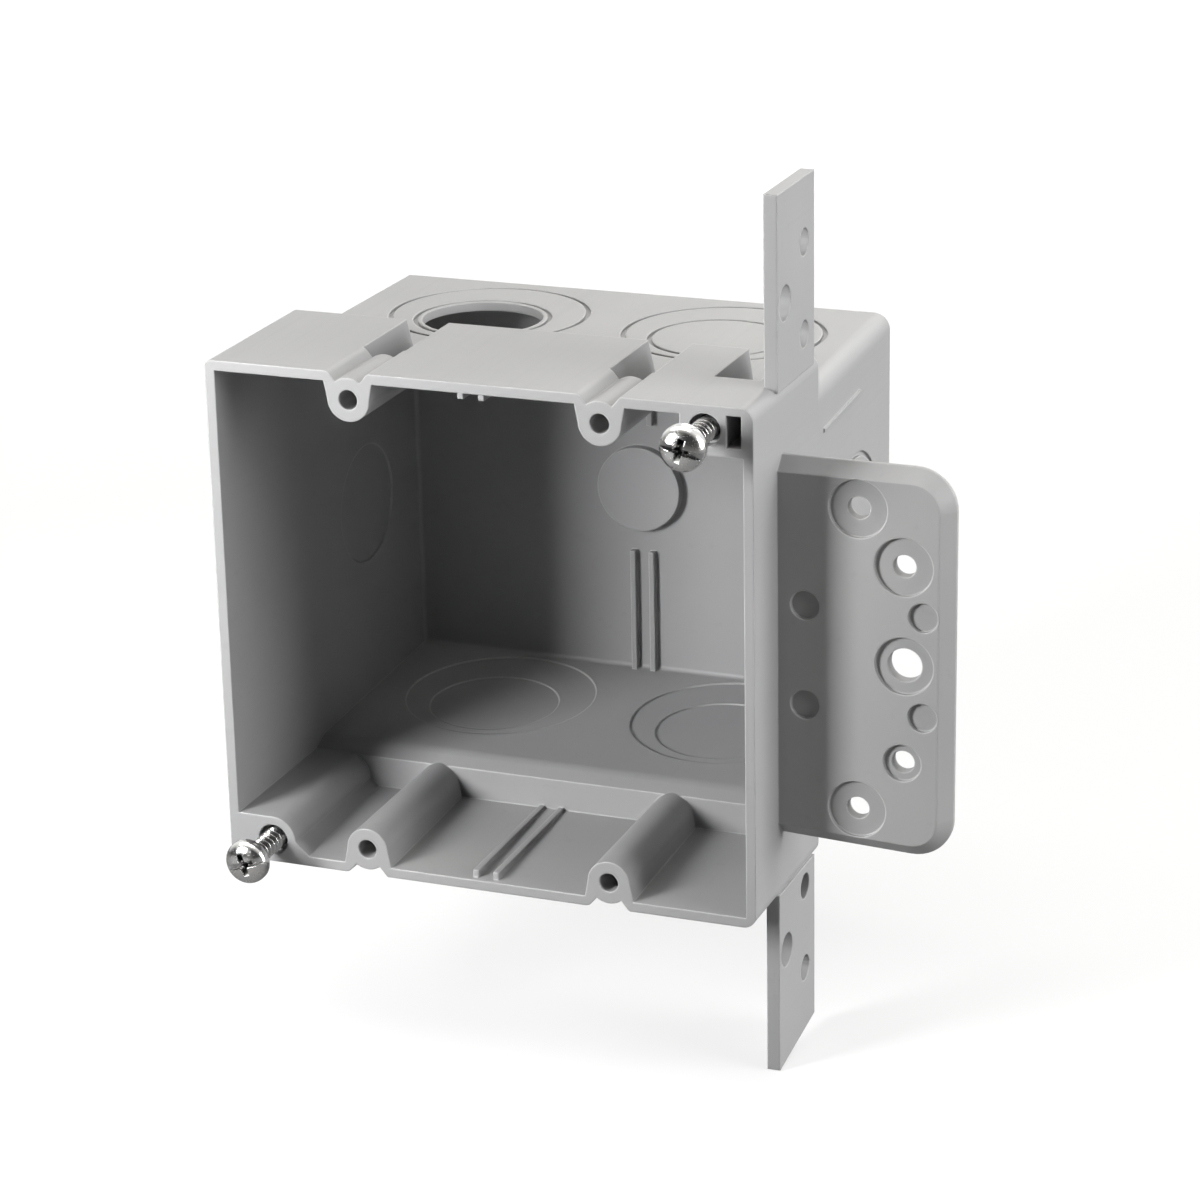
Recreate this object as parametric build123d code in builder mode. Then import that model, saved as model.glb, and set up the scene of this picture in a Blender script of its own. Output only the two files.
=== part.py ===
"""New work outlet box for two wiring devices, with its two cover screws.

The box is one plastic moulding: a tall collar in front, a lower rear section
behind it, a nail strip that stands above and below the box along its right
wall, and a nailing flange that stands out from the same wall.  The origin is
the middle of the four device screw holes, in the plane of the front rim.
X points right, Y points into the box, away from the room, and Z points up.
"""

import os
from math import cos, radians, sin, sqrt

from build123d import *

os.makedirs("parts", exist_ok=True)

# Device screw holes: two gangs at the usual spacing
device_spacing_x = 46.04
device_spacing_z = 83.34
device_hole_diameter = 3.5
device_hole_depth = 27.0
boss_radius = 3.9
boss_flank = 0.6
boss_length = 15.5

# Grooves outside, where the wall bends in and arches over each boss
groove_floor_width = 4.6
groove_mouth_width = 7.4
groove_left_radius = 1.5
groove_right_radius = 0.5
recess_width = 5.6
recess_mouth_width = 8.2

# Collar: the taller front part
collar_width = 100.2
collar_height = 93.1
collar_depth = 34.5
collar_wall = 1.8
collar_draft = 0.9
collar_left_radius = 1.3
collar_right_radius = 2.4

# Rear section: as wide as the collar where it starts, lower at top and bottom
rear_height = 81.6
box_depth = 84.5
rear_wall = 2.2
rear_draft_height = 0.3
rear_draft_left = 0.6
rear_draft_right = 2.5
rear_left_radius = 0.8
rear_right_radius = 3.0
ledge_thickness = 2.0
ledge_radius = 1.4
back_fillet = 0.8

# Floor inside the rear section: it slopes up to the back wall from a rounded lip at the ledge
ledge_lift = 0.6
lip_length = 3.5
lip_radius = 5.0
floor_lift_start = 2.3
floor_lift_end = 4.7

# Corner blocks for the cover screws: upper right and lower left
cover_inset_x = 8.5
cover_inset_z = 4.25
cover_block_radius = 4.4
cover_recess_width = 6.6
cover_recess_start = 16.5
slot_width = 2.6
slot_height = 5.6
slot_depth = 15.0
slot_gap = 3.8
low_flare_x = 7.0

# Cover screws, number 8 thread, combination pan head
screw_diameter = 4.17
screw_length = 25.4
screw_running_gap = 0.06
screw_head_diameter = 8.1
screw_head_height = 2.9
screw_head_edge = 0.9
screw_crown_steps = 3
screw_stand_off = 9.7
screw_bore_spare = 1.6
screw_mouth_diameter = 5.7
screw_mouth_depth = 2.2
screw_slot_width = 1.2
screw_slot_depth = 1.1
screw_cross_width = 4.6
screw_point = 0.6
upper_slot_angle = -15.0
lower_slot_angle = 20.0

# Nail strip along the right wall
strip_front = 12.6
strip_width = 19.5
strip_thickness = 2.4
strip_height = 79.5
strip_end_slant = 2.6
strip_small_hole = 4.8
strip_large_hole = 6.2
strip_large_inset = 3.9
strip_small_inset = 14.1
strip_hole_pitch = 8.0
strip_upper_holes = 60.3
strip_lower_holes = -57.6

# Nailing flange
flange_setback = 12.0
flange_thickness = 3.0
flange_reach = 30.8
flange_height = 69.4
flange_corner_radius = 7.2
flange_bevel = 2.4
flange_low_slant = 1.4
flange_recess_depth = 0.8
nail_hole_diameter = 4.0
nail_recess_diameter = 10.3
tie_hole_diameter = 6.0
dimple_diameter = 5.2
inner_nail_x = 14.2
inner_nail_z = 27.1
outer_nail_x = 22.2
outer_nail_z = 17.6
inner_dimple_x = 4.9
outer_dimple_x = 25.7
dimple_z = 9.0
tie_hole_x = 22.4
small_recess_diameter = 6.7

# Knock-outs
knockout_x = 23.0
outer_knockout_y = 62.5
outer_knockout_radius = 18.3
inner_knockout_y = 59.2
inner_knockout_radius = 12.4
open_knockout_radius = 11.2
ring_width = 0.9
ring_depth = 0.6
outer_disc_depth = 0.3
inner_disc_depth = 0.25
side_knockout_y = 59.0
side_knockout_z = 2.3
left_disc_radius = 11.4
right_ring_radius = 18.3

# Round plug seat and ribs inside
seat_x = -1.0
seat_z = 3.0
seat_radius = 8.3
seat_height = 2.0
rib_x = -0.7
rib_spacing = 3.8
rib_width = 1.0
rib_height = 1.4
rib_start = 1.2
rib_root = 0.4
seat_rib_gap = 4.4
wall_line_y = 50.0
wall_line_z = 32.0
wall_line_length = 25.0
wall_line_height = 0.35
wall_line_width = 0.7
ring_reach = 0.5
seat_root = 0.5


# How far a selector looks round a place
near = 0.1


def front_plane(depth):
    """The plane that faces the room, this far behind the front rim."""
    return Plane.XZ.offset(-depth)


half_width = collar_width / 2
half_height = collar_height / 2
rear_half = rear_height / 2
ledge_depth = collar_depth - ledge_thickness
device_x = device_spacing_x / 2
device_z = device_spacing_z / 2
collar_inner = half_height - collar_wall
boss_to_wall = collar_inner - device_z
groove_valley = device_z + sqrt(boss_radius**2 - (groove_floor_width / 2) ** 2)
cover_hole_x = half_width - cover_inset_x
cover_hole_z = half_height - cover_inset_z
rear_inner = rear_half - rear_wall
ledge_width = collar_inner - collar_draft - rear_inner
side_inner_left = collar_wall - half_width
side_inner_right = half_width - collar_wall
back_inner = box_depth - rear_wall
screw_bore_diameter = screw_diameter + 2 * screw_running_gap
screw_bore_depth = screw_length + screw_bore_spare
rear_length = box_depth - collar_depth
rear_middle = (box_depth + collar_depth) / 2
lip_end = ledge_depth + lip_length
floor_start = rear_inner - floor_lift_start
floor_end = rear_inner - floor_lift_end
floor_slope = (floor_start - floor_end) / (back_inner - lip_end)
under_start = floor_start + rear_wall + floor_slope * (lip_end - collar_depth)
under_end = floor_end + rear_wall * (1 - floor_slope)


def side_wall(side, draft):
    """The outer face of a side wall of the rear section: its local x runs into the box."""
    return Plane(
        origin=(side * (half_width - draft / 2), rear_middle, 0),
        x_dir=(-side * draft, rear_length, 0),
        z_dir=(side * rear_length, draft, 0),
    )


def level_wall(side):
    """The outer face of the roof or the floor of the rear section: its local x runs right."""
    start = rear_half if side > 0 else under_start
    end = rear_half - rear_draft_height if side > 0 else under_end
    return Plane(
        origin=(0, rear_middle, side * (start + end) / 2),
        x_dir=(1, 0, 0),
        z_dir=(0, start - end, side * rear_length),
    )


def cut_ring(plane, place, radius, depth):
    """Score a ring into a wall; the plane lies in the wall's face and points out of it."""
    with BuildSketch(plane.offset(ring_reach)) as ring:
        with Locations(place):
            Circle(radius + ring_width / 2)
            Circle(radius - ring_width / 2, mode=Mode.SUBTRACT)
    extrude(ring.sketch, amount=-(ring_reach + depth), mode=Mode.SUBTRACT)


def cut_disc(plane, place, radius, depth):
    """Sink a round disc into a wall; the plane lies in the wall's face and points out of it."""
    with BuildSketch(plane.offset(ring_reach)) as disc:
        with Locations(place):
            Circle(radius)
    extrude(disc.sketch, amount=-(ring_reach + depth), mode=Mode.SUBTRACT)


def recess_corners(x, side, bottom, mouth):
    """The corners of a recess in the collar's roof or floor, wider at its mouth than at its bottom."""
    return (
        (x - mouth / 2, side * half_height),
        (x - bottom / 2, side * rear_half),
        (x + bottom / 2, side * rear_half),
        (x + mouth / 2, side * half_height),
    )


def add_rib(start, size):
    """A straight rib between two corners, given by its lowest corner and its size."""
    with Locations(start):
        Box(*size, align=(Align.MIN, Align.MIN, Align.MIN))


# The space inside: nearly as high as the collar in front of the ledges, lower behind them
with BuildPart() as cavity:
    with BuildSketch(Plane.YZ) as side_profile:
        with BuildLine():
            Polyline(
                (0, collar_inner),
                (ledge_depth, collar_inner - collar_draft),
                (ledge_depth, rear_inner),
                (back_inner, rear_inner - rear_draft_height),
                (back_inner, -floor_end),
                (lip_end, -floor_start),
                (ledge_depth, ledge_lift - rear_inner),
                (ledge_depth, collar_draft - collar_inner),
                (0, -collar_inner),
                close=True,
            )
        make_face()
        at_ledge = side_profile.vertices().filter_by_position(Axis.X, ledge_depth - near, ledge_depth + near)
        upper_edge = at_ledge.filter_by_position(Axis.Y, rear_inner - near, rear_inner + near)
        fillet(upper_edge, min(ledge_radius, ledge_width / 2))
        at_lip = side_profile.vertices().filter_by_position(Axis.X, lip_end - near, lip_end + near)
        fillet(at_lip, lip_radius)
    extrude(amount=half_width, both=True)
    with BuildSketch(Plane.XY):
        with BuildLine():
            Polyline(
                (side_inner_left, 0),
                (side_inner_left, ledge_depth),
                (side_inner_left + rear_draft_left, back_inner),
                (side_inner_right - rear_draft_right, back_inner),
                (side_inner_right, ledge_depth),
                (side_inner_right, 0),
                close=True,
            )
        make_face()
    extrude(amount=half_height, both=True, mode=Mode.INTERSECT)
    fillet(cavity.faces().sort_by(Axis.Y)[-1].edges(), back_fillet)

with BuildPart() as box_moulding:
    # Rear section, solid at first: drafted in the side view and in the plan
    with BuildSketch(Plane.YZ):
        with BuildLine():
            Polyline(
                (collar_depth, rear_half),
                (box_depth, rear_half - rear_draft_height),
                (box_depth, -under_end),
                (collar_depth, -under_start),
                close=True,
            )
        make_face()
    extrude(amount=half_width, both=True)
    with BuildSketch(Plane.XY):
        with BuildLine():
            Polyline(
                (-half_width, collar_depth),
                (rear_draft_left - half_width, box_depth),
                (half_width - rear_draft_right, box_depth),
                (half_width, collar_depth),
                close=True,
            )
        make_face()
    extrude(amount=half_height, both=True, mode=Mode.INTERSECT)
    for end, radius in ((0, rear_left_radius), (-1, rear_right_radius)):
        corners = box_moulding.edges().filter_by_position(
            Axis.Y, collar_depth, box_depth, inclusive=(False, False)
        )
        fillet(corners.group_by(Axis.X)[end], radius)

    # Collar, solid at first
    with BuildSketch(front_plane(0)) as collar_outline:
        Rectangle(collar_width, collar_height)
        fillet(collar_outline.vertices().group_by(Axis.X)[0], collar_left_radius)
        fillet(collar_outline.vertices().group_by(Axis.X)[-1], collar_right_radius)
    extrude(amount=-collar_depth)

    # Room for the devices
    add(cavity.part, mode=Mode.SUBTRACT)

    # Grooves outside: the wall bends in on both sides of a boss and arches over it
    for side in (1, -1):
        with BuildSketch(front_plane(0)):
            for x in (-device_x, device_x):
                with BuildLine():
                    Polyline(
                        (x - groove_mouth_width / 2, side * half_height),
                        (x - groove_floor_width / 2, side * groove_valley),
                        (x + groove_floor_width / 2, side * groove_valley),
                        (x + groove_mouth_width / 2, side * half_height),
                        close=True,
                    )
                make_face()
            with Locations((-device_x, side * device_z), (device_x, side * device_z)):
                Circle(boss_radius, mode=Mode.SUBTRACT)
        extrude(amount=-collar_depth, mode=Mode.SUBTRACT)
    for end, radius in ((-1, groove_left_radius), (1, groove_right_radius)):
        for x in (-device_x, device_x):
            mouth_x = x + end * groove_mouth_width / 2
            mouth_edges = (
                box_moulding.edges()
                .filter_by(Axis.Y)
                .filter_by_position(Axis.X, mouth_x - near, mouth_x + near)
            )
            fillet(mouth_edges, radius)

    # Bosses with flanks that flare into the wall
    for side in (1, -1):
        with BuildSketch(front_plane(0)):
            for x in (-device_x, device_x):
                with Locations((x, side * device_z)):
                    Circle(boss_radius)
                with BuildLine():
                    Polyline(
                        (x - boss_radius, side * device_z),
                        (x + boss_radius, side * device_z),
                        (x + boss_radius + boss_flank, side * (device_z + boss_to_wall)),
                        (x - boss_radius - boss_flank, side * (device_z + boss_to_wall)),
                        close=True,
                    )
                make_face()
        extrude(amount=-ledge_depth - ledge_thickness / 2)

    # Behind each boss the collar is cored out from the back
    for side in (1, -1):
        with BuildSketch(front_plane(boss_length)):
            for x in (-device_x, device_x):
                with BuildLine():
                    Polyline(*recess_corners(x, side, recess_width, recess_mouth_width), close=True)
                make_face()
        extrude(amount=-(collar_depth - boss_length), mode=Mode.SUBTRACT)

    # Upper right block for a cover screw, with a slot cored into it from the front
    block_left = cover_hole_x - cover_block_radius
    block_low = cover_hole_z - cover_block_radius
    with BuildSketch(front_plane(0)):
        with Locations((block_left, block_low)):
            Rectangle(
                half_width - collar_wall / 2 - block_left,
                half_height - collar_wall / 2 - block_low,
                align=(Align.MIN, Align.MIN),
            )
    extrude(amount=-ledge_depth - ledge_thickness / 2)
    with BuildSketch(front_plane(0)):
        with Locations((cover_hole_x + slot_gap, cover_hole_z)):
            Rectangle(slot_width, slot_height, align=(Align.MIN, Align.CENTER))
    extrude(amount=-slot_depth, mode=Mode.SUBTRACT)

    # Lower left block, rounded about its screw
    low_x = -cover_hole_x
    low_z = -cover_hole_z
    with BuildSketch(front_plane(0)):
        with Locations((low_x, low_z)):
            Circle(cover_block_radius)
        with Locations((low_x, low_z + cover_block_radius)):
            Rectangle(
                cover_inset_x - collar_wall / 2,
                cover_block_radius + cover_inset_z - collar_wall / 2,
                align=(Align.MAX, Align.MAX),
            )
        with BuildLine():
            Polyline(
                (low_x, low_z),
                (low_x + cover_block_radius, low_z),
                (low_x + low_flare_x, -collar_inner),
                (low_x, -collar_inner),
                close=True,
            )
        make_face()
        with Locations((low_x, -collar_inner)):
            Rectangle(cover_block_radius, collar_wall / 2, align=(Align.MIN, Align.MAX))
        Rectangle(collar_width - collar_wall, collar_height - collar_wall, mode=Mode.INTERSECT)
    extrude(amount=-ledge_depth - ledge_thickness / 2)

    # Both blocks are cored out from the back, as the bosses are
    for side in (1, -1):
        with BuildSketch(front_plane(cover_recess_start)):
            with BuildLine():
                x = side * cover_hole_x
                Polyline(*recess_corners(x, side, cover_recess_width, recess_mouth_width), close=True)
            make_face()
        extrude(amount=-(collar_depth - cover_recess_start), mode=Mode.SUBTRACT)

    # Screw holes
    device_places = [
        front_plane(0) * Location((x, z, 0))
        for x in (-device_x, device_x)
        for z in (-device_z, device_z)
    ]
    with Locations(*device_places):
        Hole(device_hole_diameter / 2, device_hole_depth)
    for side in (1, -1):
        with Locations(front_plane(0) * Location((side * cover_hole_x, side * cover_hole_z, 0))):
            CounterBoreHole(
                screw_bore_diameter / 2,
                screw_mouth_diameter / 2,
                screw_mouth_depth,
                screw_bore_depth,
            )

    # Nail strip above and below the box, flush with the right wall
    strip_back = strip_front + strip_width
    root_z = half_height - collar_wall / 2
    with BuildSketch(Plane.YZ.offset(half_width)):
        with BuildLine():
            Polyline(
                (strip_front, root_z),
                (strip_front, strip_height),
                (strip_back, strip_height),
                (strip_back, root_z),
                close=True,
            )
        make_face()
        with BuildLine():
            Polyline(
                (strip_front, -root_z),
                (strip_front, -strip_height),
                (strip_back, -strip_height + strip_end_slant),
                (strip_back, -root_z),
                close=True,
            )
        make_face()
    extrude(amount=-strip_thickness)
    for middle in (strip_upper_holes, strip_lower_holes):
        small_y = strip_front + strip_small_inset
        large_y = strip_front + strip_large_inset
        with BuildSketch(Plane.YZ.offset(half_width)):
            with Locations((small_y, middle - strip_hole_pitch), (small_y, middle + strip_hole_pitch)):
                Circle(strip_small_hole / 2)
            with Locations((large_y, middle)):
                Circle(strip_large_hole / 2)
        extrude(amount=-strip_thickness, mode=Mode.SUBTRACT)

    # Nailing flange, bevelled along its front edges
    flange_edge_x = half_width + flange_reach
    flange_root_x = half_width - collar_wall / 2
    flange_top = flange_height / 2
    with BuildSketch(front_plane(flange_setback)) as flange_outline:
        with BuildLine():
            Polyline(
                (flange_root_x, flange_top),
                (flange_edge_x, flange_top),
                (flange_edge_x, -flange_top - flange_low_slant / 2),
                (flange_root_x, -flange_top + flange_low_slant / 2),
                close=True,
            )
        make_face()
        fillet(flange_outline.vertices().group_by(Axis.X)[-1], flange_corner_radius)
    extrude(amount=-flange_thickness)
    flange_edges = (
        box_moulding.edges()
        .filter_by_position(Axis.Y, flange_setback - near, flange_setback + near)
        .filter_by_position(Axis.X, half_width + near, flange_edge_x + near)
    )
    chamfer(flange_edges, flange_bevel)

    flange_face = front_plane(flange_setback)
    nail_places = (
        (inner_nail_x, inner_nail_z, nail_recess_diameter),
        (inner_nail_x, -inner_nail_z, nail_recess_diameter),
        (outer_nail_x, outer_nail_z, nail_recess_diameter),
        (outer_nail_x, -outer_nail_z, small_recess_diameter),
    )
    for x, z, recess in nail_places:
        with Locations(flange_face * Location((half_width + x, z, 0))):
            CounterBoreHole(nail_hole_diameter / 2, recess / 2, flange_recess_depth, flange_thickness)
    with Locations(flange_face * Location((half_width + tie_hole_x, 0, 0))):
        CounterBoreHole(
            tie_hole_diameter / 2,
            nail_recess_diameter / 2,
            flange_recess_depth,
            flange_thickness,
        )
    dimples = [
        flange_face * Location((half_width + x, z, 0))
        for x in (inner_dimple_x, outer_dimple_x)
        for z in (-dimple_z, dimple_z)
    ]
    with Locations(*dimples):
        Hole(dimple_diameter / 2, flange_recess_depth)

    # Knock-outs in the roof and the floor: scored outside, thinner inside
    knockouts = (
        (outer_knockout_y - rear_middle, outer_knockout_radius, outer_disc_depth),
        (inner_knockout_y - rear_middle, inner_knockout_radius, outer_disc_depth + inner_disc_depth),
    )
    for side in (1, -1):
        outside = level_wall(side)
        inside = -outside.offset(-rear_wall)
        for x in (-knockout_x, knockout_x):
            for y, radius, disc_depth in knockouts:
                cut_ring(outside, (x, side * y), radius, ring_depth)
                cut_disc(inside, (x, -side * y), radius, disc_depth)

    # The upper left one has been knocked out
    with BuildSketch(level_wall(1).offset(-rear_wall / 2)):
        with Locations((-knockout_x, inner_knockout_y - rear_middle)):
            Circle(open_knockout_radius)
    extrude(amount=rear_wall, both=True, mode=Mode.SUBTRACT)

    # One in each side wall: scored outside on the right, sunk inside on the left
    right_wall = side_wall(1, rear_draft_right)
    left_inside = -side_wall(-1, rear_draft_left).offset(-collar_wall)
    ring_y = side_knockout_y - rear_middle
    cut_ring(right_wall, (ring_y, side_knockout_z), right_ring_radius, ring_depth)
    cut_disc(left_inside, (ring_y, side_knockout_z), left_disc_radius, outer_disc_depth)

    # A thin raised line on the right wall
    with BuildSketch(right_wall.offset(-wall_line_height)):
        with Locations((wall_line_y - rear_middle, wall_line_z)):
            Rectangle(wall_line_length, wall_line_width)
    extrude(amount=2 * wall_line_height)

    # Round plug seat on the back wall
    with BuildSketch(front_plane(back_inner - seat_height)):
        with Locations((seat_x, seat_z)):
            Circle(seat_radius)
    extrude(amount=-(seat_height + seat_root))

    # Pairs of ribs on the collar's floor and roof and on the back wall
    for x in (rib_x - rib_spacing / 2, rib_x + rib_spacing / 2):
        left = x - rib_width / 2
        floor_size = (rib_width, ledge_depth - rib_start + rib_root, rib_height + rib_root)
        add_rib((left, rib_start, -collar_inner - rib_root), floor_size)
        add_rib((left, rib_start, collar_inner - rib_height), floor_size)
        back_start = back_inner - rib_height
        lower_top = seat_z - seat_radius - seat_rib_gap
        upper_low = seat_z + seat_radius + seat_rib_gap
        add_rib(
            (left, back_start, -floor_end - rib_root),
            (rib_width, rib_height + rib_root, floor_end + rib_root + lower_top),
        )
        add_rib(
            (left, back_start, upper_low),
            (rib_width, rib_height + rib_root, rear_inner - upper_low),
        )

box_moulding.part.label = "box_moulding"
export_step(box_moulding.part, "parts/box_moulding.step")

# Cover screws, each started in its block and standing out as far as the other
screw_places = (
    ("upper_cover_screw", cover_hole_x, cover_hole_z, upper_slot_angle),
    ("lower_cover_screw", -cover_hole_x, -cover_hole_z, lower_slot_angle),
)

# The rounded crown of the head is drawn in a few flat steps
head_radius = screw_head_diameter / 2
crown_radius = screw_head_height - screw_head_edge
crown_points = []
for step in range(screw_crown_steps + 1):
    turn = radians(90 * step / screw_crown_steps)
    across = head_radius - crown_radius + crown_radius * cos(turn)
    crown_points.append((across, screw_head_edge + crown_radius * sin(turn)))

for name, x, z, slot_angle in screw_places:
    seat_plane = Plane(origin=(x, -screw_stand_off, z), x_dir=(1, 0, 0), z_dir=(0, -1, 0))
    with BuildPart() as cover_screw:
        with BuildSketch(seat_plane):
            Circle(screw_diameter / 2)
        extrude(amount=-screw_length)
        chamfer(cover_screw.edges().sort_by(Axis.Y)[-1], screw_point)
        with BuildSketch(Plane(origin=seat_plane.origin, x_dir=(1, 0, 0), z_dir=(0, 0, -1))):
            with BuildLine():
                Polyline((0, 0), (head_radius, 0), *crown_points, (0, screw_head_height), close=True)
            make_face()
        revolve(axis=Axis(seat_plane.origin, seat_plane.z_dir))
        with BuildSketch(seat_plane.offset(screw_head_height - screw_slot_depth)):
            Rectangle(screw_head_diameter, screw_slot_width, rotation=slot_angle)
            Rectangle(screw_slot_width, screw_cross_width, rotation=slot_angle)
        extrude(amount=screw_head_height, mode=Mode.SUBTRACT)
    cover_screw.part.label = name
    export_step(cover_screw.part, f"parts/{name}.step")
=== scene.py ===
"""Looks of the new work outlet box: moulded grey plastic, two zinc screws, studio and camera.

Everything is in metres, in the frame of the CAD model: X points right, Y points into
the box, away from the room, and Z points up. Only the screws are drawn in millimetres.
"""

import math

import bmesh
import bpy
from mathutils import Matrix, Vector


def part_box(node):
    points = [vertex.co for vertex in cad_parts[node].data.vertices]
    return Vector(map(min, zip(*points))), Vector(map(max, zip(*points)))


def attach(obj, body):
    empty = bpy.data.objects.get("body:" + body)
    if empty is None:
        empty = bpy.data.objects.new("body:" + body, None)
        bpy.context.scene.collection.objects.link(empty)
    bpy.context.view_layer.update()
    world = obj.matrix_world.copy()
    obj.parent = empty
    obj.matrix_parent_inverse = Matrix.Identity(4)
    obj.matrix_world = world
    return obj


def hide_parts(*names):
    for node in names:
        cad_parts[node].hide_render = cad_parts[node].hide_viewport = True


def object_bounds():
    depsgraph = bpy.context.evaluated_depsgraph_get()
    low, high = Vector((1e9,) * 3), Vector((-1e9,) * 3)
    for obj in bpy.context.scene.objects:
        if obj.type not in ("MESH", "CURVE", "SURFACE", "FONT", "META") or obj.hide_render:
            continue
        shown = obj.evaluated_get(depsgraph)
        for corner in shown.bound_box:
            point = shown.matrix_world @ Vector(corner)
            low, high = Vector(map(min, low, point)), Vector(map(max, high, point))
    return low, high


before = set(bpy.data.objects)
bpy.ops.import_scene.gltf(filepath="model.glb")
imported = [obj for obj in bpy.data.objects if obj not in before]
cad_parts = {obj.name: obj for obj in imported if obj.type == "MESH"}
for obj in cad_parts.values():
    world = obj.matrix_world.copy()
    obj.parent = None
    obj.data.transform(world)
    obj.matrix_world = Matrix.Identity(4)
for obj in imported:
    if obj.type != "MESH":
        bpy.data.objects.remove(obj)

cad_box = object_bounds()

MM = 0.001

# Camera: where it stands and looks, with a little roll
CAMERA_AZIMUTH = math.radians(21.58)
CAMERA_ELEVATION = math.radians(19.58)
CAMERA_ROLL = math.radians(-1.18)
CAMERA_DISTANCE = 0.63987
CAMERA_TARGET = Vector((0.0225, 0.0, 0.01047))
CAMERA_LENS = 113.4
CAMERA_NEAR = 0.01
SENSOR_WIDTH = 36.0

# Lamps: name, azimuth and elevation in degrees, distance, sides, level and colour
WHITE = (1.0, 1.0, 1.0)
WARM = (1.0, 0.985, 0.95)
KEY_SIDES = (0.09, 0.13)
KEY_DISTANCE = 0.3222
SOFTBOX_SIDES = (0.9, 0.9)
SOFTBOX_DISTANCE = 1.4
LAMPS = (
    ("key", -39.2, 16.1, KEY_DISTANCE, KEY_SIDES, 1.70, WHITE),
    ("right", 90, 15, SOFTBOX_DISTANCE, SOFTBOX_SIDES, 1.30, WHITE),
    ("right_back", 115, 0, SOFTBOX_DISTANCE, SOFTBOX_SIDES, 0.32, WHITE),
    ("back", 180, 30, SOFTBOX_DISTANCE, SOFTBOX_SIDES, 0.27, WARM),
    ("top", 0, 88, SOFTBOX_DISTANCE, SOFTBOX_SIDES, 0.37, WARM),
    ("left", -90, 60, SOFTBOX_DISTANCE, SOFTBOX_SIDES, 0.30, WARM),
)

# Surround: its colour, its level behind the object, and how dark it gets in mirrors, which
# show it fading from the back and above to the front
SURROUND_COLOUR = (1.0, 0.992, 0.972, 1)
SURROUND_LEVEL = 0.84
MIRROR_TILT = 0.7
MIRROR_START = -0.25
MIRROR_END = 0.6
MIRROR_DARKEST = 0.04

# Floor where it is seen: its own grey under the lamps, and a glow that reaches white far off
FLOOR_SHADE = 0.26
FLOOR_GLOW = 0.68
FLOOR_NEAR = 0.35
FLOOR_FAR = 1.1

# Floor in the light that it gives back, and its size
FLOOR_RETURN = 0.15
FLOOR_RADIUS = 6.0
FLOOR_SEGMENTS = 96
FLOOR_GAP = 0.2 * MM

# Plastic: colours, the radius over which its edges look rounded, and the stretch of its marks
PLASTIC_DARK = (0.302, 0.302, 0.307, 1)
PLASTIC_PALE = (0.324, 0.323, 0.324, 1)
PLASTIC_FLECK = (0.270, 0.270, 0.275, 1)
# The next colour is a painted highlight, laid paler along every edge, hollow ones too
PLASTIC_EDGE_HIGHLIGHT = (0.56, 0.56, 0.555, 1)
PLASTIC_EDGE = 0.42 * MM
PLASTIC_SPECULAR = 0.45
FLOW_STRETCH = (1.0, 0.12, 1.0)
DRAG_STRETCH = (1.0, 0.02, 1.0)

# Zinc: colours, with a near black for painted shade, the radius of its edges, and how near a wall has to
# be for that painted shade
ZINC_COOL = (0.78, 0.79, 0.80, 1)
ZINC_WARM = (0.83, 0.82, 0.80, 1)
ZINC_DULL = (0.55, 0.55, 0.54, 1)
ZINC_PAINTED_SHADE = (0.06, 0.06, 0.06, 1)
ZINC_EDGE = 0.10 * MM
PAINTED_SHADE_REACH = 1.1 * MM

# Screw: sizes in millimetres, along an axis that starts under the head
SCREW_LENGTH = 25.4
SHANK_START = -0.4
THREAD_PITCH = 1.40
THREAD_RADIUS = 2.07
THREAD_ROOT = 1.42
THREAD_STEPS = 12
THREAD_SEGMENTS = 48
THREAD_SPARE_TURNS = 2
THREAD_POINT = 2.6
POINT_RADIUS = 1.1
HEAD_RADIUS = 4.04
HEAD_HEIGHT = 2.88
HEAD_EDGE = 0.62
HEAD_EDGE_ROUND = 0.12
HEAD_SQUARENESS = 2.4
HEAD_RINGS = 14
HEAD_SEGMENTS = 96
SLOT_LENGTH = 3 * HEAD_RADIUS
SLOT_WIDTH = 1.2
SLOT_DEPTH = 1.15
SLOT_PROUD = 1.0
CROSS_LENGTH = 4.7
CROSS_WIDTH = 1.25
CROSS_FOOT_LENGTH = 1.3
CROSS_FOOT_WIDTH = 0.5
CROSS_DEPTH = 2.1
CROSS_PROUD = 0.02
HAIR = 0.01
CUT_TOLERANCE = 1e-4

# Where the thread's root ends, its crest starts and ends, and its root starts, in pitches
ROOT_END, CREST_START, CREST_END, ROOT_START = 0.16, 0.50, 0.58, 0.92

# Screw in the box: how far its seat lies behind the front of the CAD head, and its turn
SEAT_DEPTH = 2.9 * MM
UPPER_SLOT_TURN = math.radians(-15)
LOWER_SLOT_TURN = math.radians(20)
SMOOTH_ANGLE = math.radians(32)


def add_node(tree, kind, **inputs):
    """A shader node with some of its inputs set by name."""
    node = tree.nodes.new(kind)
    for name, value in inputs.items():
        node.inputs[name].default_value = value
    return node


def object_place(tree):
    """The point in the object's own coordinates."""
    return tree.nodes.new("ShaderNodeTexCoord").outputs["Object"]


def noise(tree, place, scale, detail, stretch=(1.0, 1.0, 1.0)):
    """A noise texture, its scale counted per metre; returns its factor."""
    mapping = add_node(tree, "ShaderNodeMapping", Scale=stretch)
    tree.links.new(place, mapping.inputs["Vector"])
    texture = add_node(tree, "ShaderNodeTexNoise", Scale=scale, Detail=detail)
    tree.links.new(mapping.outputs["Vector"], texture.inputs["Vector"])
    return texture.outputs["Fac"]


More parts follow.
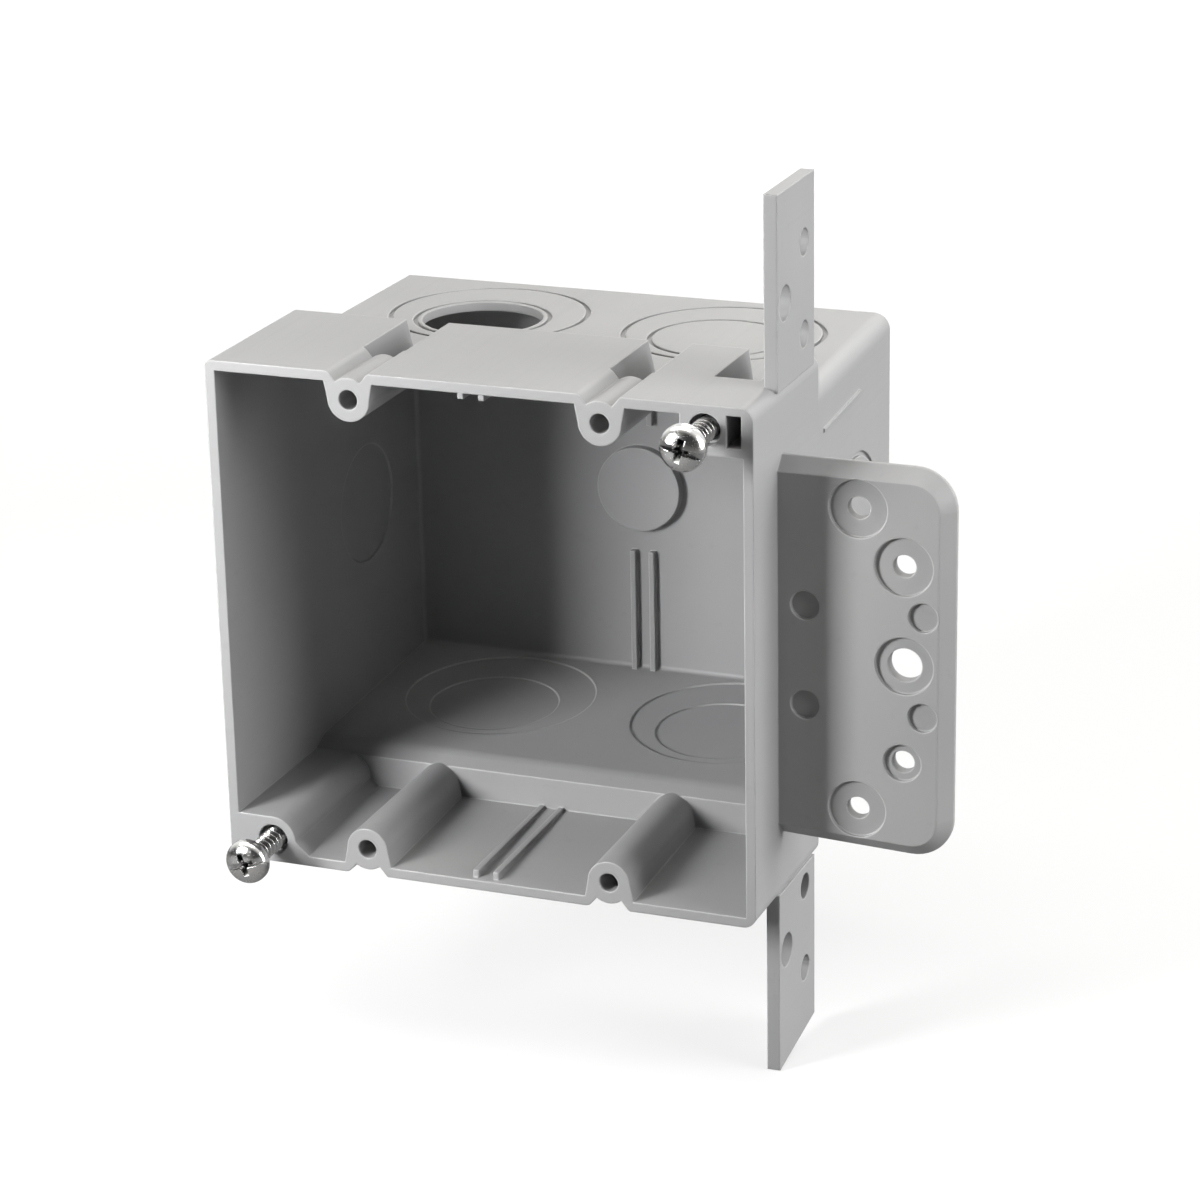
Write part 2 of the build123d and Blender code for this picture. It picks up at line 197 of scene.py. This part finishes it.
def remap(tree, value, low, high, to_low=0.0, to_high=1.0):
    """Map a value from one range to another, held at both ends."""
    node = tree.nodes.new("ShaderNodeMapRange")
    node.clamp = True
    tree.links.new(value, node.inputs["Value"])
    ends = ("From Min", low), ("From Max", high), ("To Min", to_low), ("To Max", to_high)
    for name, end in ends:
        node.inputs[name].default_value = end
    return node.outputs["Result"]


def math_node(tree, operation, first, second):
    """One step of arithmetic between sockets or numbers."""
    node = tree.nodes.new("ShaderNodeMath")
    node.operation = operation
    for socket, value in zip(node.inputs, (first, second)):
        if isinstance(value, (int, float)):
            socket.default_value = value
        else:
            tree.links.new(value, socket)
    return node.outputs["Value"]


def mix_colour(tree, factor, first, second):
    """Blend two colours; each is a socket or four numbers."""
    node = tree.nodes.new("ShaderNodeMix")
    node.data_type = "RGBA"
    tree.links.new(factor, node.inputs[0])
    for socket, value in ((node.inputs[6], first), (node.inputs[7], second)):
        if isinstance(value, tuple):
            socket.default_value = value
        else:
            tree.links.new(value, socket)
    return node.outputs[2]


def mix_shader(tree, factor, first, second):
    """Blend two shaders."""
    node = tree.nodes.new("ShaderNodeMixShader")
    for socket, value in zip(node.inputs, (factor, first, second)):
        tree.links.new(value, socket)
    return node.outputs["Shader"]


def bump(tree, height, strength, distance, normal):
    """Bump on top of another normal."""
    node = add_node(tree, "ShaderNodeBump", Strength=strength, Distance=distance)
    tree.links.new(height, node.inputs["Height"])
    tree.links.new(normal, node.inputs["Normal"])
    return node.outputs["Normal"]


def rounded_normal(tree, radius):
    """The normal with every edge rounded over this radius."""
    bevel = add_node(tree, "ShaderNodeBevel", Radius=radius)
    bevel.samples = 6
    return bevel.outputs["Normal"]


def edge_mask(tree, normal):
    """A mask of the edges: how far the rounded normal leans away from the true one."""
    geometry = tree.nodes.new("ShaderNodeNewGeometry")
    dot = tree.nodes.new("ShaderNodeVectorMath")
    dot.operation = "DOT_PRODUCT"
    tree.links.new(normal, dot.inputs[0])
    tree.links.new(geometry.outputs["Normal"], dot.inputs[1])
    return remap(tree, dot.outputs["Value"], low=0.80, high=0.998, to_low=1.0, to_high=0.0)


def openness(tree, reach):
    """How open the surface is: 0 deep in a hollow, 1 where nothing stands within reach."""
    hollow = add_node(tree, "ShaderNodeAmbientOcclusion", Distance=reach)
    hollow.samples = 8
    return remap(tree, hollow.outputs["AO"], low=0.42, high=0.92)


def new_material(name):
    """A material with an untouched shader; returns the material, its tree and the shader."""
    material = bpy.data.materials.new(name)
    material.use_nodes = True
    tree = material.node_tree
    return material, tree, tree.nodes["Principled BSDF"]


def plastic_material():
    """Rigid grey vinyl as it leaves the mould: fine grain, faint cloudiness, a painted highlight on its
    edges.
    """
    material, tree, shader = new_material("grey_plastic")
    place = object_place(tree)
    cloud = noise(tree, place, scale=26.0, detail=4.0)
    mottle = noise(tree, place, scale=420.0, detail=3.0)
    flow = noise(tree, place, scale=55.0, detail=3.0, stretch=FLOW_STRETCH)
    drag = noise(tree, place, scale=900.0, detail=2.0, stretch=DRAG_STRETCH)
    grain = noise(tree, place, scale=2600.0, detail=2.0)
    normal = rounded_normal(tree, PLASTIC_EDGE)

    base = mix_colour(tree, remap(tree, cloud, low=0.35, high=0.65), PLASTIC_DARK, PLASTIC_PALE)
    fleck_share = remap(tree, mottle, low=0.62, high=0.78, to_high=0.35)
    flecked = mix_colour(tree, fleck_share, base, PLASTIC_FLECK)
    # Painted highlight along the edges, patchy along their length through the flow noise
    highlight_spread = remap(tree, flow, low=0.35, high=0.6, to_low=0.45, to_high=0.95)
    edge_highlight_share = math_node(tree, "MULTIPLY", edge_mask(tree, normal), highlight_spread)
    highlighted_base = mix_colour(tree, edge_highlight_share, flecked, PLASTIC_EDGE_HIGHLIGHT)
    tree.links.new(highlighted_base, shader.inputs["Base Color"])

    sheen = remap(tree, flow, low=0.3, high=0.7, to_low=0.42, to_high=0.49)
    scuffs = remap(tree, drag, low=0.55, high=0.75, to_high=0.04)
    tree.links.new(math_node(tree, "ADD", sheen, scuffs), shader.inputs["Roughness"])
    shader.inputs["Specular IOR Level"].default_value = PLASTIC_SPECULAR

    waved = bump(tree, cloud, strength=0.25, distance=0.12 * MM, normal=normal)
    grained = bump(tree, grain, strength=0.35, distance=0.012 * MM, normal=waved)
    tree.links.new(grained, shader.inputs["Normal"])
    return material


def zinc_material():
    """Bright zinc plate: mirror-like, with slight unevenness, dull specks and painted shade in its
    hollows.
    """
    material, tree, shader = new_material("zinc_plate")
    place = object_place(tree)
    tint = noise(tree, place, scale=700.0, detail=3.0)
    speck = noise(tree, place, scale=2400.0, detail=3.0)
    grain = noise(tree, place, scale=5200.0, detail=2.0)

    base = mix_colour(tree, remap(tree, tint, low=0.35, high=0.65), ZINC_COOL, ZINC_WARM)
    dull_share = remap(tree, speck, low=0.60, high=0.75, to_high=0.6)
    dulled = mix_colour(tree, dull_share, base, ZINC_DULL)
    # Painted shade: the colour goes nearly black in the slot, the cross and between the thread's crests
    shaded = mix_colour(tree, openness(tree, PAINTED_SHADE_REACH), ZINC_PAINTED_SHADE, dulled)
    tree.links.new(shaded, shader.inputs["Base Color"])
    shader.inputs["Metallic"].default_value = 1.0

    polish = remap(tree, tint, low=0.3, high=0.7, to_low=0.14, to_high=0.24)
    specks = remap(tree, speck, low=0.6, high=0.75, to_high=0.2)
    tree.links.new(math_node(tree, "ADD", polish, specks), shader.inputs["Roughness"])
    normal = rounded_normal(tree, ZINC_EDGE)
    grained = bump(tree, grain, strength=0.3, distance=0.006 * MM, normal=normal)
    tree.links.new(grained, shader.inputs["Normal"])
    return material


def give_material(piece, material):
    """Put one material on a piece in place of what it has."""
    piece.data.materials.clear()
    piece.data.materials.append(material)


def add_object(name, data):
    """An object in the scene that holds this data."""
    made = bpy.data.objects.new(name, data)
    bpy.context.scene.collection.objects.link(made)
    return made


def mesh_object(name, bm):
    """Turn a bmesh into an object in the scene."""
    mesh = bpy.data.meshes.new(name)
    bm.normal_update()
    bm.to_mesh(mesh)
    bm.free()
    return add_object(name, mesh)


def smooth_edges(mesh, angle):
    """Shade a mesh smooth, with edges sharper than the angle left sharp."""
    bm = bmesh.new()
    bm.from_mesh(mesh)
    for face in bm.faces:
        face.smooth = True
    for edge in bm.edges:
        edge.smooth = len(edge.link_faces) == 2 and edge.calc_face_angle(math.pi) < angle
    bm.to_mesh(mesh)
    bm.free()


def circle_point(radius, share, height):
    """A point this share of the way round a circle about Z."""
    angle = 2 * math.pi * share
    return radius * math.cos(angle), radius * math.sin(angle), height


def thread_radius(phase):
    """Radius of the thread over one pitch: a narrow root, a straight flank up to a crest and down."""
    rise = THREAD_RADIUS - THREAD_ROOT
    if phase < ROOT_END or phase > ROOT_START:
        return THREAD_ROOT
    if phase < CREST_START:
        return THREAD_ROOT + rise * (phase - ROOT_END) / (CREST_START - ROOT_END)
    if phase <= CREST_END:
        return THREAD_RADIUS
    return THREAD_RADIUS - rise * (phase - CREST_END) / (ROOT_START - CREST_END)


def thread_ring(bm, row):
    """One turn of a helix of points; each row lies one step of the pitch further on."""
    point_start = SCREW_LENGTH - THREAD_POINT
    ring = []
    for segment in range(THREAD_SEGMENTS):
        share = segment / THREAD_SEGMENTS
        along = (row / THREAD_STEPS + share) * THREAD_PITCH
        radius = thread_radius((row / THREAD_STEPS) % 1.0)
        if along > point_start:
            pointed = min((along - point_start) / THREAD_POINT, 1.0)
            radius = min(radius, THREAD_RADIUS + (POINT_RADIUS - THREAD_RADIUS) * pointed)
        ring.append(bm.verts.new(circle_point(radius, share, along)))
    return ring


def close_shank(bm, height, outward):
    """Cut the thread off square at a height and cap it."""
    geometry = bm.verts[:] + bm.edges[:] + bm.faces[:]
    bmesh.ops.bisect_plane(
        bm, geom=geometry, plane_co=(0, 0, height), plane_no=(0, 0, outward), clear_outer=True
    )
    rim = [
        edge for edge in bm.edges
        if edge.is_boundary and abs(edge.verts[0].co.z - height) < CUT_TOLERANCE
    ]
    bmesh.ops.edgeloop_fill(bm, edges=rim)


def shank_mesh():
    """The threaded shank along +Z, from just inside the head to its blunt point."""
    bm = bmesh.new()
    first = -THREAD_SPARE_TURNS * THREAD_STEPS
    last = int((SCREW_LENGTH / THREAD_PITCH + THREAD_SPARE_TURNS) * THREAD_STEPS)
    rows = [thread_ring(bm, row) for row in range(first, last)]
    for index in range(len(rows) - THREAD_STEPS - 1):
        low, high = rows[index], rows[index + 1]
        for segment in range(THREAD_SEGMENTS - 1):
            bm.faces.new((low[segment], low[segment + 1], high[segment + 1], high[segment]))
        # A whole turn further on, the helix meets the row that starts one pitch higher
        next_low, next_high = rows[index + THREAD_STEPS], rows[index + THREAD_STEPS + 1]
        bm.faces.new((low[-1], next_low[0], next_high[0], high[-1]))
    close_shank(bm, SHANK_START, -1)
    close_shank(bm, SCREW_LENGTH, 1)
    loose = [vertex for vertex in bm.verts if not vertex.link_faces]
    bmesh.ops.delete(bm, geom=loose, context="VERTS")
    bmesh.ops.recalc_face_normals(bm, faces=bm.faces[:])
    return bm


def lathe(profile, segments):
    """Turn a profile of (radius, height) points about Z; its first and last points are on the axis."""
    bm = bmesh.new()
    top = bm.verts.new((0, 0, profile[0][1]))
    bottom = bm.verts.new((0, 0, profile[-1][1]))
    rings = []
    for radius, height in profile[1:-1]:
        points = [circle_point(radius, segment / segments, height) for segment in range(segments)]
        rings.append([bm.verts.new(point) for point in points])
    for segment in range(segments):
        after = (segment + 1) % segments
        bm.faces.new((top, rings[0][segment], rings[0][after]))
        bm.faces.new((bottom, rings[-1][after], rings[-1][segment]))
        for upper, lower in zip(rings, rings[1:]):
            bm.faces.new((upper[segment], lower[segment], lower[after], upper[after]))
    bmesh.ops.recalc_face_normals(bm, faces=bm.faces[:])
    return bm


def head_mesh():
    """The pan head, domed towards -Z, closed and not yet slotted."""
    profile = [(0.0, -HEAD_HEIGHT)]
    rise = HEAD_HEIGHT - HEAD_EDGE
    for ring in range(1, HEAD_RINGS + 1):
        angle = math.pi / 2 * ring / HEAD_RINGS
        radius = HEAD_RADIUS * math.sin(angle) ** (2 / HEAD_SQUARENESS)
        height = HEAD_EDGE + rise * max(math.cos(angle), 0.0) ** (2 / HEAD_SQUARENESS)
        profile.append((radius, -height))
    profile.append((HEAD_RADIUS, -HEAD_EDGE_ROUND))
    profile.append((HEAD_RADIUS - HEAD_EDGE_ROUND, 0.0))
    profile.append((0.0, 0.0))
    return lathe(profile, HEAD_SEGMENTS)


def blade(top, foot, top_height, foot_height):
    """A cutter that narrows from one rectangle (length, width) to a smaller one."""
    bm = bmesh.new()
    corners = ((-1, -1), (1, -1), (1, 1), (-1, 1))
    upper = [bm.verts.new((a * top[0] / 2, b * top[1] / 2, top_height)) for a, b in corners]
    lower = [bm.verts.new((a * foot[0] / 2, b * foot[1] / 2, foot_height)) for a, b in corners]
    bm.faces.new(upper)
    bm.faces.new(lower)
    for index in range(4):
        after = (index + 1) % 4
        bm.faces.new((upper[index], upper[after], lower[after], lower[index]))
    bmesh.ops.recalc_face_normals(bm, faces=bm.faces[:])
    return bm


def combine(piece, other, operation):
    """Cut or join another object into a piece and remove the other."""
    modifier = piece.modifiers.new("combine", "BOOLEAN")
    modifier.operation = operation
    modifier.solver = "EXACT"
    modifier.object = other
    graph = bpy.context.evaluated_depsgraph_get()
    made = bpy.data.meshes.new_from_object(piece.evaluated_get(graph))
    piece.modifiers.clear()
    piece.data = made
    bpy.data.objects.remove(other)


def cut_recess(head):
    """Cut the slot and both arms of the cross; the arms differ by a hair and share no plane."""
    slot = (SLOT_LENGTH, SLOT_WIDTH)
    cross = (CROSS_LENGTH, CROSS_WIDTH)
    foot = (CROSS_FOOT_LENGTH, CROSS_FOOT_WIDTH)
    cross_top = -HEAD_HEIGHT - CROSS_PROUD
    cross_floor = CROSS_DEPTH - HEAD_HEIGHT
    cutters = (
        (slot, slot, -HEAD_HEIGHT - SLOT_PROUD, SLOT_DEPTH - HEAD_HEIGHT, 0.0),
        (cross, foot, cross_top, cross_floor, 0.0),
        (cross, foot, cross_top - HAIR, cross_floor + HAIR, math.pi / 2),
    )
    for top, bottom, top_height, bottom_height, turn in cutters:
        bm = blade(top, bottom, top_height, bottom_height)
        bmesh.ops.rotate(bm, verts=bm.verts[:], cent=(0, 0, 0), matrix=Matrix.Rotation(turn, 3, "Z"))
        combine(head, mesh_object("cutter", bm), "DIFFERENCE")


def seat_screw(piece, node, slot_turn):
    """Put a screw in the CAD screw's place: its Z runs into the box and its X along the slot."""
    low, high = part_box(node)
    slot_way = Vector((math.cos(slot_turn), 0.0, math.sin(slot_turn)))
    into_box = Vector((0.0, 1.0, 0.0))
    across = into_box.cross(slot_way)
    turn = Matrix((slot_way, across, into_box)).transposed().to_4x4()
    seat = Vector(((low.x + high.x) / 2, low.y + SEAT_DEPTH, (low.z + high.z) / 2))
    piece.data.transform(Matrix.Translation(seat) @ turn @ Matrix.Scale(MM, 4))


def build_screw(name, node, body, slot_turn, material):
    """A threaded cover screw that stands for its CAD node and moves with its body."""
    piece = mesh_object(name, head_mesh())
    cut_recess(piece)
    combine(piece, mesh_object("shank", shank_mesh()), "UNION")
    seat_screw(piece, node, slot_turn)
    smooth_edges(piece.data, SMOOTH_ANGLE)
    give_material(piece, material)
    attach(piece, body)
    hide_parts(node)


def direction(azimuth, elevation):
    """The way from the object: azimuth 0 is to the front, and positive turns to the right."""
    return Vector((
        math.sin(azimuth) * math.cos(elevation),
        -math.cos(azimuth) * math.cos(elevation),
        math.sin(elevation),
    ))


def camera_axes():
    """Right, up and back directions of the camera."""
    back = direction(CAMERA_AZIMUTH, CAMERA_ELEVATION)
    right = Vector((math.cos(CAMERA_AZIMUTH), math.sin(CAMERA_AZIMUTH), 0.0))
    up = back.cross(right)
    cosine, sine = math.cos(CAMERA_ROLL), math.sin(CAMERA_ROLL)
    return cosine * right + sine * up, cosine * up - sine * right, back


def add_camera():
    """The camera at the photograph's viewing angle."""
    right, up, back = camera_axes()
    data = bpy.data.cameras.new("camera")
    data.lens = CAMERA_LENS
    data.sensor_width = SENSOR_WIDTH
    data.clip_start = CAMERA_NEAR
    camera = add_object("camera", data)
    turn = Matrix((right, up, back)).transposed().to_4x4()
    camera.matrix_world = Matrix.Translation(CAMERA_TARGET + back * CAMERA_DISTANCE) @ turn
    bpy.context.scene.camera = camera


def add_lamp(name, azimuth, elevation, distance, sides, level, colour):
    """A softbox aimed at the object; at level 1 it alone lights a facing surface to its own colour."""
    away = direction(math.radians(azimuth), math.radians(elevation))
    data = bpy.data.lights.new(name, "AREA")
    data.shape = "RECTANGLE"
    data.size, data.size_y = sides
    data.energy = level * math.pi**2 * distance**2
    data.color = colour
    lamp = add_object(name, data)
    lamp.location = CAMERA_TARGET + away * distance
    lamp.rotation_euler = away.to_track_quat("Z", "Y").to_euler()


def surround_level(tree, glossy):
    """Level of the surround: soft light from behind, and in mirrors also white from above."""
    way = tree.nodes.new("ShaderNodeTexCoord").outputs["Generated"]
    split = tree.nodes.new("ShaderNodeSeparateXYZ")
    tree.links.new(way, split.inputs["Vector"])
    lighting = remap(tree, split.outputs["Y"], low=0.0, high=1.0, to_high=SURROUND_LEVEL)
    upward = math_node(tree, "MULTIPLY", split.outputs["Z"], MIRROR_TILT)
    behind = math_node(tree, "ADD", split.outputs["Y"], upward)
    mirrored = remap(tree, behind, low=MIRROR_START, high=MIRROR_END, to_low=MIRROR_DARKEST)
    in_mirrors = math_node(tree, "MULTIPLY", mirrored, glossy)
    elsewhere = math_node(tree, "MULTIPLY", lighting, math_node(tree, "SUBTRACT", 1.0, glossy))
    return math_node(tree, "ADD", in_mirrors, elsewhere)


def add_world():
    """White where it is seen, and a dimmer surround in mirrors and in the light on the object."""
    world = bpy.data.worlds.new("studio")
    bpy.context.scene.world = world
    world.use_nodes = True
    tree = world.node_tree
    tree.nodes.clear()
    path = tree.nodes.new("ShaderNodeLightPath")
    seen = math_node(tree, "MAXIMUM", path.outputs["Is Camera Ray"], path.outputs["Is Transmission Ray"])
    surround = add_node(tree, "ShaderNodeBackground", Color=SURROUND_COLOUR)
    level = surround_level(tree, path.outputs["Is Glossy Ray"])
    tree.links.new(level, surround.inputs["Strength"])
    white = add_node(tree, "ShaderNodeBackground", Color=(1, 1, 1, 1), Strength=1.0)
    mixed = mix_shader(tree, seen, surround.outputs["Background"], white.outputs["Background"])
    output = tree.nodes.new("ShaderNodeOutputWorld")
    tree.links.new(mixed, output.inputs["Surface"])


def matt_grey(tree, shade):
    """A matt grey shader."""
    return add_node(tree, "ShaderNodeBsdfDiffuse", Color=(shade, shade, shade, 1)).outputs["BSDF"]


def floor_glow(tree):
    """The floor's own light where it is seen, up to white away from the object."""
    away = tree.nodes.new("ShaderNodeVectorMath")
    away.operation = "LENGTH"
    tree.links.new(object_place(tree), away.inputs[0])
    glow = add_node(tree, "ShaderNodeEmission", Color=(1, 1, 1, 1))
    strength = remap(tree, away.outputs["Value"], low=FLOOR_NEAR, high=FLOOR_FAR, to_low=FLOOR_GLOW)
    tree.links.new(strength, glow.inputs["Strength"])
    return glow.outputs["Emission"]


def floor_material():
    """White where it is seen, with a faint shadow, and grey in the light that it gives back."""
    material = bpy.data.materials.new("floor")
    material.use_nodes = True
    tree = material.node_tree
    tree.nodes.clear()
    lit = tree.nodes.new("ShaderNodeAddShader")
    tree.links.new(matt_grey(tree, FLOOR_SHADE), lit.inputs[0])
    tree.links.new(floor_glow(tree), lit.inputs[1])
    path = tree.nodes.new("ShaderNodeLightPath")
    mixed = mix_shader(
        tree, path.outputs["Is Camera Ray"], matt_grey(tree, FLOOR_RETURN), lit.outputs["Shader"]
    )
    output = tree.nodes.new("ShaderNodeOutputMaterial")
    tree.links.new(mixed, output.inputs["Surface"])
    return material


def add_floor():
    """A wide round floor just under the lowest point of the object."""
    low = cad_box[0]
    bm = bmesh.new()
    bmesh.ops.create_circle(bm, cap_ends=True, segments=FLOOR_SEGMENTS, radius=FLOOR_RADIUS)
    floor = mesh_object("floor", bm)
    floor.location = (0.0, 0.0, low[2] - FLOOR_GAP)
    give_material(floor, floor_material())


zinc = zinc_material()
give_material(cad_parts["box_moulding"], plastic_material())
build_screw("upper_screw_threaded", "upper_cover_screw", "upper_screw", UPPER_SLOT_TURN, zinc)
build_screw("lower_screw_threaded", "lower_cover_screw", "lower_screw", LOWER_SLOT_TURN, zinc)
add_camera()
for lamp in LAMPS:
    add_lamp(*lamp)
add_world()
add_floor()
bpy.context.scene.view_settings.view_transform = "Standard"
